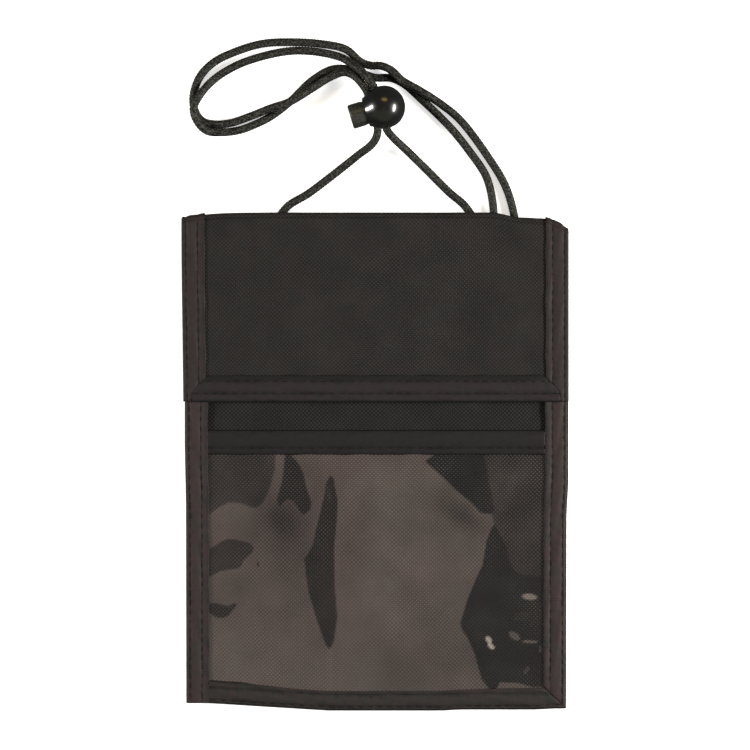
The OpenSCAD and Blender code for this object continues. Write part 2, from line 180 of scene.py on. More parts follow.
def frames_along(line):
    """Two directions square to the line at each point, that turn as little as they can."""
    along = np.gradient(line, axis=0)
    along /= np.linalg.norm(along, axis=1)[:, None]
    side = np.cross(along[0], [0, 0, 1])
    sides = []
    for way in along:
        side = side - way * np.dot(side, way)
        side /= np.linalg.norm(side)
        sides.append(side)
    sides = np.array(sides)
    return sides, np.cross(sides, along)


def braid(turn, far):
    """How far the strands of a round braid stand out, from 0 between them to 1 on their backs."""
    one = CARRIERS * turn + far / BRAID_PITCH
    other = CARRIERS * turn - far / BRAID_PITCH
    over = (np.floor(one) + np.floor(other)) % 2 == 0
    one, other = np.sin(np.pi * (one % 1)), np.sin(np.pi * (other % 1))
    return np.where(over, one * (0.5 + 0.5 * other), other * (0.5 + 0.5 * one))


def new_piece(name, points, faces):
    """A piece from points in millimetres and faces, smooth-shaded."""
    mesh = bpy.data.meshes.new(name)
    mesh.from_pydata((points * MM).tolist(), [], faces)
    mesh.validate()
    mesh.shade_smooth()
    piece = bpy.data.objects.new(name, mesh)
    bpy.context.collection.objects.link(piece)
    return piece


def mark(piece, name, values):
    """Keeps a number at each of a piece's points, for its material to read."""
    marks = piece.data.attributes.new(name, "FLOAT", "POINT")
    marks.data.foreach_set("value", np.asarray(values, np.float32))


def settle(piece, node, body, material):
    """Gives a piece its material and its node's place, on a body if one is named."""
    piece.data.materials.clear()
    piece.data.materials.append(material)
    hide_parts(node)
    if body:
        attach(piece, body)


def finish(name, colour, roughness, **sockets):
    """A material with plain values on its shader, and that shader."""
    material = bpy.data.materials.new(name)
    material.use_nodes = True
    shader = material.node_tree.nodes["Principled BSDF"]
    shader.inputs["Base Color"].default_value = (*colour, 1)
    shader.inputs["Roughness"].default_value = roughness
    for socket, value in sockets.items():
        shader.inputs[socket.replace("_", " ")].default_value = value
    return material, shader


def add(material, kind, **settings):
    """A new node, with its settings."""
    node = material.node_tree.nodes.new(kind)
    for name, value in settings.items():
        setattr(node, name, value)
    return node


def wire(material, out, into):
    material.node_tree.links.new(out, into)


def on_object(material):
    """A socket with the place on the object, in metres."""
    return add(material, "ShaderNodeTexCoord").outputs["Object"]


def sum_up(material, operation, first, second):
    """A Math node on two sockets or numbers."""
    node = add(material, "ShaderNodeMath", operation=operation)
    for socket, value in zip(node.inputs, (first, second)):
        if isinstance(value, (int, float)):
            socket.default_value = value
        else:
            wire(material, value, socket)
    return node.outputs[0]


def speckle(material, place, scale, detail, stretch=(1, 1, 1)):
    """Noise on a place socket, from 0 to 1."""
    mapping = add(material, "ShaderNodeMapping")
    mapping.inputs["Scale"].default_value = stretch
    wire(material, place, mapping.inputs["Vector"])
    noise = add(material, "ShaderNodeTexNoise")
    noise.inputs["Scale"].default_value = scale
    noise.inputs["Detail"].default_value = detail
    wire(material, mapping.outputs["Vector"], noise.inputs["Vector"])
    return noise.outputs["Fac"]


def ramp(material, amount, dark, light, low, high):
    """A ramp from one colour to another as a socket goes from low to high."""
    colours = add(material, "ShaderNodeValToRGB")
    for element, colour, position in zip(colours.color_ramp.elements, (dark, light), (low, high)):
        element.color = (*colour, 1)
        element.position = position
    wire(material, amount, colours.inputs["Fac"])
    return colours


def two_tone(material, shader, amount, dark, light, low=0.0, high=1.0):
    """Colours the shader from dark to light as a socket goes from low to high."""
    colours = ramp(material, amount, dark, light, low, high)
    wire(material, colours.outputs["Color"], shader.inputs["Base Color"])
    return colours


def tint(material, shader, colours, amount, first, second):
    """Multiplies a ramp's colour by one that runs from first to second as a socket goes up."""
    tints = ramp(material, amount, first, second, 0.35, 0.65)
    mixer = add(material, "ShaderNodeMix", data_type="RGBA", blend_type="MULTIPLY")
    mixer.inputs["Factor"].default_value = 1
    wire(material, colours.outputs["Color"], mixer.inputs[6])
    wire(material, tints.outputs["Color"], mixer.inputs[7])
    wire(material, mixer.outputs[2], shader.inputs["Base Color"])


def emboss(material, shader, height, depth):
    """Bumps the shader by a height socket, of which 1 stands for depth metres."""
    bump = add(material, "ShaderNodeBump")
    bump.inputs["Distance"].default_value = depth
    wire(material, height, bump.inputs["Height"])
    wire(material, bump.outputs["Normal"], shader.inputs["Normal"])


route_points, cord_far = evenly(rounded(np.array(ROUTE)), CORD_RINGS)
side_ways, up_ways = frames_along(route_points)
rings, sides = len(route_points), np.arange(CORD_SIDES)
turns = sides / CORD_SIDES
round_it = 2 * np.pi * turns
strand = braid(turns[None], cord_far[:, None])
radii = CORD_WIDTH / 2 - BRAID_DEPTH * (1 - strand)
tube = route_points[:, None] + radii[..., None] * (
    np.cos(round_it)[:, None] * side_ways[:, None] + np.sin(round_it)[:, None] * up_ways[:, None])
first = np.arange(rings - 1)[:, None] * CORD_SIDES + sides
second = np.arange(rings - 1)[:, None] * CORD_SIDES + (sides + 1) % CORD_SIDES
walls = np.stack([first, first + CORD_SIDES, second + CORD_SIDES, second], -1).reshape(-1, 4).tolist()
ends = [sides.tolist(), ((rings - 1) * CORD_SIDES + sides[::-1]).tolist()]
cord = new_piece("braided_cord", tube.reshape(-1, 3), walls + ends)
mark(cord, "strand", strand.ravel())

cord_black, shader = finish("cord_polyester", (0.02, 0.021, 0.016), 0.6, Specular_IOR_Level=0.2)
here = on_object(cord_black)
# Painted shade: the braid's strands are coloured lighter on their backs and darker in the grooves between
# them, with random flecks.
backs = add(cord_black, "ShaderNodeAttribute", attribute_name="strand").outputs["Fac"]
flecks = speckle(cord_black, here, 1300, 2)
flecks_and_painted_groove_shade = sum_up(cord_black, "ADD", sum_up(cord_black, "MULTIPLY", backs, 0.2), flecks)
two_tone(cord_black, shader, flecks_and_painted_groove_shade, (0.0008, 0.0009, 0.0007), (0.044, 0.045, 0.037), 0.56, 0.74)
emboss(cord_black, shader, speckle(cord_black, here, 4200, 2), 0.00012)
settle(cord, "neck_cord", "wallet", cord_black)


# Cord lock: a glossy moulded ball with a lip, through which a satin button slides against a
# spring. Both have a slot for the two cords, and the spring squeezes them between the slots.
LOCK_TURN = 17
BALL_R = 8.6
LIP_OUT, LIP_W = 7.4, 0.8
BUTTON_R, BUTTON_CLEAR, BUTTON_OUT = 4.85, 0.1, 6.3
SLOT_X, SLOT_W, SLOT_H = -2.9, 6.6, 3.6
BUTTON_TRAVEL, BUTTON_WALL, BUTTON_REST = 2.5, 1.2, 0.3
LIP_ROUND, TIP_ROUND = 0.3, 0.7
ON_AXIS = 0.0001
SHARP = math.radians(35)


def spun(name, outline, segments):
    """A closed body of revolution about X through the ball, from an outline of (x, radius)."""
    bpy.ops.mesh.primitive_circle_add(vertices=len(outline), radius=1)
    piece = bpy.context.object
    piece.name = name
    for vertex, (x, r) in zip(piece.data.vertices, outline):
        vertex.co = (x * MM, 0, r * MM)
    bpy.ops.object.mode_set(mode="EDIT")
    bpy.ops.mesh.select_all(action="SELECT")
    bpy.ops.mesh.spin(steps=segments, angle=2 * math.pi, center=(0, 0, 0), axis=(1, 0, 0))
    bpy.ops.mesh.select_all(action="SELECT")
    bpy.ops.mesh.remove_doubles(threshold=0.00001)
    bpy.ops.mesh.normals_make_consistent(inside=False)
    bpy.ops.object.mode_set(mode="OBJECT")
    return piece


def arc(middle_x, middle_r, radius, start, end, count):
    """Points on an arc, with angles in degrees from +X towards the outside."""
    turn = np.radians(np.linspace(start, end, count))
    return list(zip(middle_x + radius * np.cos(turn), middle_r + radius * np.sin(turn)))


def soften(piece, width, segments=2):
    """Rounds a piece's sharp edges."""
    bpy.context.view_layer.objects.active = piece
    bevel = piece.modifiers.new("soft_edges", "BEVEL")
    bevel.width = width * MM
    bevel.segments = segments
    bevel.limit_method = "ANGLE"
    bevel.angle_limit = SHARP
    bpy.ops.object.modifier_apply(modifier=bevel.name)


def slot_through(piece, x_middle, width, height):
    """Cuts the round-ended cord slot, which runs along Y."""
    bpy.ops.mesh.primitive_cube_add(size=1, location=(x_middle * MM, 0, 0))
    cutter = bpy.context.object
    cutter.scale = (width * MM, 30 * MM, height * MM)
    bpy.ops.object.transform_apply(location=True, rotation=False, scale=True)
    soften(cutter, height * 0.49, 8)
    bpy.context.view_layer.objects.active = piece
    cut = piece.modifiers.new("slot", "BOOLEAN")
    cut.operation = "DIFFERENCE"
    cut.solver = "EXACT"
    cut.object = cutter
    bpy.ops.object.modifier_apply(modifier=cut.name)
    bpy.data.objects.remove(cutter)


def into_place(piece):
    """Turns and moves a piece modelled about the ball's centre to where the lock lies."""
    piece.rotation_euler = (0, 0, math.radians(LOCK_TURN))
    piece.location = BALL
    bpy.ops.object.select_all(action="DESELECT")
    piece.select_set(True)
    bpy.context.view_layer.objects.active = piece
    bpy.ops.object.transform_apply(location=True, rotation=True, scale=True)
    bpy.ops.object.shade_smooth_by_angle(angle=math.radians(38))


bore_r = BUTTON_R + BUTTON_CLEAR
lip_r = bore_r + LIP_W
slot_left = SLOT_X - SLOT_W / 2
button_end = slot_left + SLOT_W + BUTTON_WALL
bore_end = button_end + BUTTON_TRAVEL + BUTTON_REST
lip_middle = (-LIP_OUT + LIP_ROUND, lip_r - LIP_ROUND)
neck_angle = math.degrees(math.atan2(lip_middle[1], lip_middle[0])
    - math.acos((BALL_R - LIP_ROUND) / math.hypot(*lip_middle)))
ball_outline = [(bore_end, ON_AXIS), (bore_end, bore_r), (-LIP_OUT + 0.2, bore_r), (-LIP_OUT, bore_r + 0.2)]
ball_outline += arc(*lip_middle, LIP_ROUND, 175, neck_angle, 5)
ball_outline += arc(0, 0, BALL_R, neck_angle, 0.5, 44)
ball = spun("lock_ball", ball_outline, 96)
slot_long = SLOT_W + BUTTON_TRAVEL
slot_through(ball, slot_left + slot_long / 2, slot_long, SLOT_H)
soften(ball, 0.25)
into_place(ball)

tip = -LIP_OUT - BUTTON_OUT
button_outline = [(button_end, ON_AXIS), (button_end, BUTTON_R), (tip + 0.8, BUTTON_R)]
button_outline += arc(tip + TIP_ROUND, BUTTON_R - TIP_ROUND, TIP_ROUND, 90, 180, 6)
button_outline += [(tip + 0.12, BUTTON_R * 0.5), (tip + 0.15, ON_AXIS)]
button = spun("lock_push_button", button_outline, 72)
slot_through(button, slot_left - BUTTON_TRAVEL + slot_long / 2, slot_long, SLOT_H)
soften(button, 0.15)
into_place(button)

ball_black, shader = finish("lock_gloss_black", (0.0045, 0.0045, 0.0036), 0.3, Specular_IOR_Level=0.3,
    Coat_Weight=0.7, Coat_Roughness=0.08)
here = on_object(ball_black)
emboss(ball_black, shader, speckle(ball_black, here, 260, 1), 0.00004)
settle(ball, "lock_body", "wallet", ball_black)
button_black, shader = finish("button_satin", (0.024, 0.024, 0.021), 0.42)
here = on_object(button_black)
grain = speckle(button_black, here, 1800, 3)
two_tone(button_black, shader, grain, (0.003, 0.003, 0.0025), (0.032, 0.032, 0.026), 0.38, 0.66)
emboss(button_black, shader, grain, 0.00006)
settle(button, "lock_button", "button", button_black)
spring_wire, shader = finish("spring_wire", (0.6, 0.6, 0.62), 0.25, Metallic=1.0)
here = on_object(spring_wire)
emboss(spring_wire, shader, speckle(spring_wire, here, 3000, 2), 0.00003)
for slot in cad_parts["lock_spring"].material_slots:
    slot.material = spring_wire


# Main sheet: one cut of coated cloth that runs up the back, round the top and down as the flap.
# It is three pieces here, because the flap turns about the top. One weave runs on through them.
BODY_W, BODY_H = 150.5, 197
FLAP_W, FLAP_LEN, FLAP_GAP = 153.2, 74.7, 0.35
POCKET_DROP, WINDOW_DROP, POCKET_GAP = 18.5, 86.2, 0.1
CLOTH_T, VINYL_T, TAPE_T = 0.5, 0.3, 0.35
TAPE_W, WINDOW_TAPE_W = 9, 9.5
SHEET_IN, FLAP_SHEET_IN, POCKET_MOUTH_IN, WINDOW_MOUTH_IN = 1.4, 0.5, 0.5, 0.4
RISE, CLIMB_LEN = 3.9, 101
BLEND_HALF, FOLD_CELLS = 1.9, 16
back_z = TAPE_T
front_z = back_z + CLOTH_T + POCKET_GAP + TAPE_T
window_z = front_z + CLOTH_T + POCKET_GAP + TAPE_T
body_t = window_z + VINYL_T + TAPE_T
flap_z = body_t + FLAP_GAP + TAPE_T
top_y, bottom_y = BODY_H / 2, -BODY_H / 2
fold_r = (flap_z + CLOTH_T - back_z) / 2
fold_y = top_y - fold_r - TAPE_T
fold_z = (flap_z + CLOTH_T + back_z) / 2
flap_y = top_y - FLAP_LEN
pocket_y = top_y - POCKET_DROP
window_y = top_y - WINDOW_DROP
body_x, flap_x = BODY_W / 2, FLAP_W / 2
body_in, flap_in = body_x - TAPE_W, flap_x - TAPE_W
sheet_x, flap_sheet_x, sheet_low = body_x - SHEET_IN, flap_x - FLAP_SHEET_IN, bottom_y + SHEET_IN


def ease(low, high, value):
    """0 below low, 1 above high and smooth between."""
    share = np.clip((value - low) / (high - low), 0, 1)
    return share * share * (3 - 2 * share)


def mix(low, high, share):
    return low + (high - low) * share


def to_sides(x, left, right):
    """A shift that grows from nothing in the middle to its whole size at each side."""
    return left * np.clip(-x / body_x, 0, 1) + right * np.clip(x / body_x, 0, 1)


def body_lean(x, y):
    """The body is drawn out below the flap, and most at its right."""
    covered = ease(30, 90, y)
    left = mix(-0.05 - 0.45 * ease(-20, 10, y), -0.4, covered)
    right = mix(0.25 + 0.7 * ease(-24, -6, y), -0.4, covered)
    return to_sides(x, left, right)


def flap_lean(x, y):
    """How far the flap's places shift beside the body's: it tapers a little at its left."""
    return x + to_sides(x, 0.4 - 0.8 * ease(10, 96, y), -0.4) - body_lean(x, y)


def lie(points):
    """Lays a flat wallet's points down: the bight of cord lifts its upper part, and its top
    and bottom edges bow a little, with a rounded corner at the top right."""
    x, y, z = points.T
    short = RISE * (1 - (y - bottom_y) / CLIMB_LEN)
    rise = RISE - (short + np.sqrt(short**2 + 0.06)) / 2
    top_bow = 0.65 - 2.1 * np.clip(-x / body_x, 0, 1) ** 9 - 2 * ease(46, 58, x) - 0.3 * ease(58, 66, x)
    top_bow = top_bow - 4.2 * np.clip((x - 66) / 10, 0, 1) ** 2
    low_bow = 0.062 * np.clip(-19 - x, 0, 47) + 0.4 * ease(25, 35, x) + 0.4 * ease(62, 72, x) - 0.55
    bow = top_bow * ease(40, top_y, y) ** 2 + low_bow * ease(-45, bottom_y, y)
    return np.stack([x + body_lean(x, y), y + bow, z + rise], 1)


def places_of(mesh):
    """The coordinates of a mesh's points, in three rows."""
    places = np.zeros(len(mesh.vertices) * 3)
    mesh.vertices.foreach_get("co", places)
    return places.reshape(-1, 3).T


def grid(name, across, along, place, flat, thickness, marks=None):
    """A closed sheet of across by along cells. place(u, v) gives the points of its middle, from
    shares u and v, and flat(u, v) its map, both in millimetres."""
    bpy.ops.mesh.primitive_grid_add(x_subdivisions=across, y_subdivisions=along, size=1)
    piece = bpy.context.object
    piece.name = name
    mesh = piece.data
    u, v = places_of(mesh)[:2] + 0.5
    mesh.vertices.foreach_set("co", (place(u, v) * MM).ravel())
    corners = np.zeros(len(mesh.loops), np.int32)
    mesh.loops.foreach_get("vertex_index", corners)
    mesh.uv_layers[0].data.foreach_set("uv", flat(u, v)[corners].ravel() * MM)
    if marks:
        mark(piece, marks[0], marks[1](u, v))
    mesh.shade_smooth()
    shell = piece.modifiers.new("thickness", "SOLIDIFY")
    shell.thickness = thickness * MM
    shell.offset = 0
    bpy.ops.object.modifier_apply(modifier=shell.name)
    return piece


def panel(name, half, y_low, y_high, z, thickness, cell=1.5, swell=None, marks=None, lean=None):
    """A flat sheet laid in the wallet, between two places along it, at a middle height z.
    marks names a number to keep at each point, and the function of its place that gives it."""
    def place(u, v):
        x, y = mix(-half, half, u), mix(y_low, y_high, v)
        height = z + (swell(x, y) if swell else 0 * x)
        return lie(np.stack([lean(x, y) if lean else x, y, height], 1))

    def flat(u, v):
        return np.stack([mix(-half, half, u), mix(y_low, y_high, v)], 1)

    def kept(u, v):
        return marks[1](mix(-half, half, u), mix(y_low, y_high, v))

    cells = round(2 * half / cell), round((y_high - y_low) / cell)
    return grid(name, *cells, place, flat, thickness, (marks[0], kept) if marks else None)


WEAVE_PITCH = 1.6 * MM


def weave(material, place):
    """A plain weave seen on the slant, low between the yarns, with fibres and soft blotches."""
    split = add(material, "ShaderNodeSeparateXYZ")
    wire(material, place, split.inputs[0])
    rising = sum_up(material, "ADD", split.outputs["X"], split.outputs["Y"])
    falling = sum_up(material, "SUBTRACT", split.outputs["X"], split.outputs["Y"])
    rising = sum_up(material, "PINGPONG", rising, WEAVE_PITCH / 2)
    falling = sum_up(material, "PINGPONG", falling, WEAVE_PITCH / 2)
    pillow = sum_up(material, "MINIMUM", rising, falling)
    pillow = sum_up(material, "DIVIDE", pillow, WEAVE_PITCH / 2)
    fibres = sum_up(material, "MULTIPLY", speckle(material, place, 5200, 3), 0.2)
    shade = sum_up(material, "MULTIPLY", speckle(material, place, 60, 3), 0.7)
    pillow = sum_up(material, "ADD", pillow, sum_up(material, "ADD", fibres, shade))
    return sum_up(material, "SUBTRACT", pillow, 0.45)


def cloth(name, dark, light, low=0.0, high=1.0):
    material, shader = finish(name, light, 0.75, Specular_IOR_Level=0.2)
    place = add(material, "ShaderNodeUVMap").outputs["UV"]
    # The weave is the cloth's own pattern. Its yarns are painted lighter on their backs and darker in the
    # gaps between them, as painted shade, and its fibres and blotches are random tone.
    pillow = weave(material, place)
    colours = two_tone(material, shader, pillow, dark, light, low, high)
    tint(material, shader, colours, speckle(material, place, 130, 2), (1.06, 0.97, 0.98), (0.96, 1.01, 0.98))
    emboss(material, shader, pillow, 0.00015)
    return material


cloth_black = cloth("coated_cloth", (0.0023, 0.002, 0.002), (0.0252, 0.0218, 0.021))


def flap_swell(x, y):
    """The flap is not quite flat between its tapes."""
    edge = ease(0, 14, flap_in - abs(x)) * ease(0, 12, y - flap_y - TAPE_W) * ease(0, 12, fold_y - y)
    return edge * (0.25 * np.sin(x / 17 + 1) * np.sin(y / 13 + 2) + 0.12 * np.sin(x / 7 - y / 9))


back = panel("back_sheet", sheet_x, sheet_low, fold_y, back_z + CLOTH_T / 2, CLOTH_T)
flap_sheet_low = flap_y + FLAP_SHEET_IN
flap = panel("flap_sheet", flap_sheet_x, flap_sheet_low, fold_y, flap_z + CLOTH_T / 2, CLOTH_T, 1,
    flap_swell, lean=flap_lean)


def fold_place(u, v):
    turn = v * np.pi
    r = fold_r - CLOTH_T / 2
    x = mix(-flap_sheet_x, flap_sheet_x, u)
    return lie(np.stack([x, fold_y + r * np.sin(turn), fold_z - r * np.cos(turn)], 1))


def fold_flat(u, v):
    return np.stack([mix(-flap_sheet_x, flap_sheet_x, u), fold_y + np.pi * fold_r * v], 1)


fold = grid("fold_sheet", 152, FOLD_CELLS, fold_place, fold_flat, CLOTH_T)
cloth_pieces = (back, "back_panel", "wallet"), (flap, "flap_panel", "flap"), (fold, "top_fold", None)
for piece, node, body in cloth_pieces:
    settle(piece, node, body, cloth_black)
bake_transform(fold)


# Inner pocket: a second cloth sheet on the front of the back sheet, open below the fold.
# Its mouth is bound with tape and one line of stitches.
TAPE_CELL, TAPE_CELL_ACROSS = 0.55, 0.42
STITCH_PITCH, STITCH_LEN, STITCH_R = 3.85, 3.1, 0.3
STITCH_SUNK, UNDER_SUNK = 0.14, 0.16
SEAM_HALF = 0.42
SEAM_OUTER, SEAM_INNER = 1.5, 6.2
FLAP_SEAM_LOW, FLAP_SEAM_HIGH = 3.2, 8
WINDOW_SEAM = 6.9


def seam_dip(x, seams):
    """How much a line of stitches pulls the tape in, from 0 to 1, at a distance from its edge."""
    return sum(np.exp(-((x - seam) / SEAM_HALF) ** 2) for seam in seams)


def tape_face(x, along, seams, puff):
    """Height of a tape's face over its stitched level: it swells between its lines of
    stitches, and is drawn in a little at every stitch."""
    lines = [0.35] + list(seams) + [TAPE_W + 1.2]
    swell = 0 * x
    for low, high in zip(lines, lines[1:]):
        share = np.clip((x - low) / (high - low), 0, 1)
        swell = swell + puff * np.sin(np.pi * share) * min(1, (high - low) / 4)
    pull = 0.5 + 0.5 * np.cos(2 * np.pi * along / STITCH_PITCH)
    wander = 0.05 * np.sin(along / 5.3 + x) + 0.04 * np.sin(along / 2.9 + 2 * x + 1)
    return swell * (1 + 0.12 * pull) + wander - 0.16 * (0.6 + 0.4 * pull) * seam_dip(x, seams)


def edge_path(edge, z, way, upright, lean=None):
    """Points beside a straight edge along Y if it is upright, or else along X. way is +1 where
    the wallet lies towards +X or +Y of it."""
    def at(along, inward, height):
        beside = edge + way * inward
        x, y = (beside, along) if upright else (along, beside)
        return np.stack([lean(x, y) if lean else x, y, z + height], 1)
    return at


def fold_path(x_edge, way):
    """Points beside the edge that goes round the fold. along is the arc about the fold."""
    def at(along, inward, height):
        r = fold_r - CLOTH_T / 2
        turn = along / r
        out = r + height
        return np.stack([x_edge + way * inward, fold_y + out * np.sin(turn), fold_z - out * np.cos(turn)], 1)
    return at


MITRE = ((0, 0), (20, 20))


def tape(name, at, start, end, half, seams, width=TAPE_W, start_cut=None, end_cut=None, puff=0.28,
        cells=None, narrow=None):
    """Tape folded over an edge round layers that are 2 half thick. An end's cut is a list of
    (inward, cut back), and narrow(along) is the share of its width that the tape has there."""
    bend = np.pi * half
    flat_w = width - half
    reach = flat_w + bend / 2
    across = 2 * round(reach / TAPE_CELL_ACROSS)

    def shape(u, v):
        turn = (2 * u - 1) * reach
        side = np.sign(turn)
        on_bend = np.minimum(abs(turn), bend / 2)
        angle = on_bend / half
        inward = half * (1 - np.cos(angle)) + np.maximum(abs(turn) - bend / 2, 0)
        height = side * half * np.sin(angle)
        start_line = start + np.interp(inward, *zip(*start_cut)) if start_cut else start + 0 * inward
        end_line = end - np.interp(inward, *zip(*end_cut)) if end_cut else end + 0 * inward
        along = mix(start_line, end_line, v)
        if narrow:
            inward = inward * mix(1, narrow(along), np.clip(inward / 3, 0, 1))
        inward = inward + np.clip((inward - flat_w) / half, 0, 1) * (
            0.1 * np.sin(along / 3.1) + 0.08 * np.sin(along / 1.7 + 2))
        near_cut = 0 * along
        if start_cut:
            near_cut = near_cut + np.exp(-(along - start_line) / 0.45)
        if end_cut:
            near_cut = near_cut + np.exp(-(end_line - along) / 0.45)
        face = tape_face(inward, along, seams, puff) * np.sin(angle)
        face = np.where(side > 0, face, np.minimum(face, 0) * 0.8) - 0.2 * near_cut * np.sin(angle)
        return along, inward, height + side * face, turn

    def place(u, v):
        return lie(at(*shape(u, v)[:3]))

    def flat(u, v):
        along, inward, height, turn = shape(u, v)
        return np.stack([turn, along], 1)

    # Painted light and shade: lighter where the tape swells, darker at its stitches and in a band towards
    # its inner edge.
    def painted_relief_light(u, v):
        along, inward, height, turn = shape(u, v)
        painted_lit_relief = 0.3 + 1.8 * tape_face(inward, along, seams, puff)
        return np.clip(painted_lit_relief, 0, 1) * (1 - 0.55 * ease(7.7, 8.3, inward)) - 0.9 * ease(8.55, 8.9, inward)

    count = cells or round(abs(end - start) / TAPE_CELL)
    return grid(name, across, count, place, flat, TAPE_T, ("painted_relief_light", painted_relief_light))


def stitch_shape():
    """One stitch: a short thread that lies on its tape and dives in at both ends."""
    bpy.ops.mesh.primitive_uv_sphere_add(segments=8, ring_count=6, radius=STITCH_R)
    one = bpy.context.object
    x, y, z = places_of(one.data)
    along = z + np.sign(np.round(z, 4)) * (STITCH_LEN / 2 - STITCH_R)
    sunk = 0.55 * x + 0.12 - 0.3 * (along / (STITCH_LEN / 2)) ** 4
    faces = [list(face.vertices) for face in one.data.polygons]
    shape = np.stack([along, y, sunk], 1)
    bpy.data.objects.remove(one)
    return shape, faces


STITCH, STITCH_FACES = stitch_shape()


def stitches(name, seams):
    """Lines of stitches, each (path, inward, start, end, height, side). Its side is -1 below."""
    points, faces = [], []
    for at, inward, start, end, height, side in seams:
        count = max(1, round(abs(end - start) / STITCH_PITCH))
        for k in range(count):
            along = mix(start, end, (k + 0.5) / count) + STITCH[:, 0]
            sunk = 0 if side > 0 else UNDER_SUNK
            places = lie(at(along, inward + side * STITCH[:, 1], side * (height + STITCH[:, 2] - sunk)))
            first = sum(len(p) for p in points)
            points.append(places)
            faces += [[first + i for i in face] for face in STITCH_FACES]
    piece = new_piece(name, np.vstack(points), faces)
    bpy.ops.object.select_all(action="DESELECT")
    piece.select_set(True)
    bpy.context.view_layer.objects.active = piece
    bpy.ops.object.mode_set(mode="EDIT")
    bpy.ops.mesh.select_all(action="SELECT")
    bpy.ops.mesh.normals_make_consistent(inside=False)
    bpy.ops.object.mode_set(mode="OBJECT")
    return piece


RIB_PITCH = 0.84 * MM
TAPE_DARK, TAPE_LIGHT = np.array((0.004, 0.0032, 0.003)), np.array((0.036, 0.0282, 0.0256))


def ribbed(name, red, green, blue):
    """Ribbed tape: fine ribs across it, painted lighter on their crests with painted shade between them,
    random yarn and blotches of two hues, and painted light on what stands out, with painted shade at the
    stitches and towards its inner edge.
    """
    material, shader = finish(name, TAPE_LIGHT, 0.65, Specular_IOR_Level=0.25)
    place = add(material, "ShaderNodeUVMap").outputs["UV"]
    split = add(material, "ShaderNodeSeparateXYZ")
    wire(material, place, split.inputs[0])
    ribs = sum_up(material, "PINGPONG", split.outputs["Y"], RIB_PITCH / 2)
    ribs = sum_up(material, "DIVIDE", ribs, RIB_PITCH / 2)
    yarn = speckle(material, place, 3600, 3, (1, 0.6, 1))
    patches = speckle(material, place, 300, 3)
    # Painted light on the raised parts of the tape, and painted shade at its seams and towards its inner
    # edge.
    painted_relief_light = add(material, "ShaderNodeAttribute", attribute_name="painted_relief_light").outputs["Fac"]
    cover = sum_up(material, "MULTIPLY", ribs, 0.2)
    cover = sum_up(material, "ADD", cover, sum_up(material, "MULTIPLY", yarn, 0.36))
    cover = sum_up(material, "ADD", cover, sum_up(material, "MULTIPLY", patches, 0.7))
    emboss(material, shader, cover, 0.0002)
    cover = sum_up(material, "ADD", cover, sum_up(material, "MULTIPLY", painted_relief_light, 0.5))
    gain = np.array((red, green, blue))
    colours = two_tone(material, shader, cover, TAPE_DARK * gain, TAPE_LIGHT * gain, 0.53)
    tint(material, shader, colours, speckle(material, place, 170, 4), (1.14, 0.93, 1.02), (0.88, 1.05, 0.96))
    return material


# The same tape in copies of different brightness. The crosswise tapes along the body's bottom, the flap's
# lower edge and the clear pocket's mouth are painted darker, as painted shade where the side lamps light
# them less, and are darkest at the mouth. The flap's side tapes are a little darker than the body's.
tape_black = ribbed("body_tape", 0.6, 0.51, 0.53)
flap_tape_black = ribbed("flap_tape", 0.45, 0.36, 0.4)
low_tape_painted_shade = ribbed("low_tape", 0.42, 0.43, 0.44)
shaded_tape_black = ribbed("shaded_tape", 0.28, 0.26, 0.3)
mouth_tape_painted_shade = ribbed("mouth_tape", 0.12, 0.115, 0.16)
thread_black, shader = finish("seam_thread", (0.005, 0.0045, 0.005), 0.7, Specular_IOR_Level=0.12)
here = on_object(thread_black)
twist = speckle(thread_black, here, 3800, 2)
two_tone(thread_black, shader, twist, (0.001, 0.001, 0.001), (0.009, 0.0082, 0.0088))
emboss(thread_black, shader, twist, 0.0001)


def bind(piece, node, body, material=tape_black):
    settle(piece, node, body, material)


def sew(thread, node, body):
    settle(thread, node, body, thread_black)


pocket_high = pocket_y - POCKET_MOUTH_IN
pocket = panel("inner_pocket_sheet", sheet_x, sheet_low, pocket_high, front_z + CLOTH_T / 2, CLOTH_T)
# A darker copy of the same cloth: painted shade on the strip that shows between the flap and the clear
# pocket, and on the cloth under the vinyl.
pocket_painted_shade = cloth("cloth_with_painted_shade", (0.0004, 0.0004, 0.0005), (0.018, 0.016, 0.0178), 0.13, 0.8)
settle(pocket, "front_panel", "wallet", pocket_painted_shade)
cloth_half = (CLOTH_T + TAPE_T) / 2
pocket_edge = edge_path(pocket_y, front_z + CLOTH_T / 2, -1, False)
pocket_tape = tape("inner_pocket_tape", pocket_edge, -body_in, body_in, cloth_half, [SEAM_INNER], puff=0.12)
bind(pocket_tape, "front_panel_binding", "wallet")
cloth_stitched = cloth_half + TAPE_T / 2 - STITCH_SUNK
pocket_row = (pocket_edge, SEAM_INNER, -body_in, body_in, cloth_stitched, 1)
sew(stitches("inner_pocket_thread", [pocket_row]), "front_panel_stitching", "wallet")


# Clear pocket: a sheet of soft clear vinyl over the lower part, with a tape over its mouth.
# Its colour carries a painted reflection of the light overhead, with painted glints, and it is dark in
# patches where the painted reflection is taken away and the vinyl dips towards the cloth.
VINYL_CELL = 0.6
VINYL_BULGE, VINYL_CRUMPLE = 0.08, 0.12
REFLECTION_TOP = 3


def inside_distance(x, y, outline):
    """How far inside a closed outline each point lies, and 0 outside."""
    corners = np.array(outline, float)
    near = np.full(len(x), 1e9)
    crossings = np.zeros(len(x), int)
    for (ax, ay), (bx, by) in zip(corners, np.roll(corners, -1, 0)):
        dx, dy = bx - ax, by - ay
        share = np.clip(((x - ax) * dx + (y - ay) * dy) / (dx * dx + dy * dy), 0, 1)
        near = np.minimum(near, np.hypot(x - ax - share * dx, y - ay - share * dy))
        spans = (ay > y) != (by > y)
        cut = ax + (y - ay) * dx / (dy if dy else 1e-9)
        crossings += spans & (x < cut)
    return np.where(crossings % 2 == 1, near, 0)
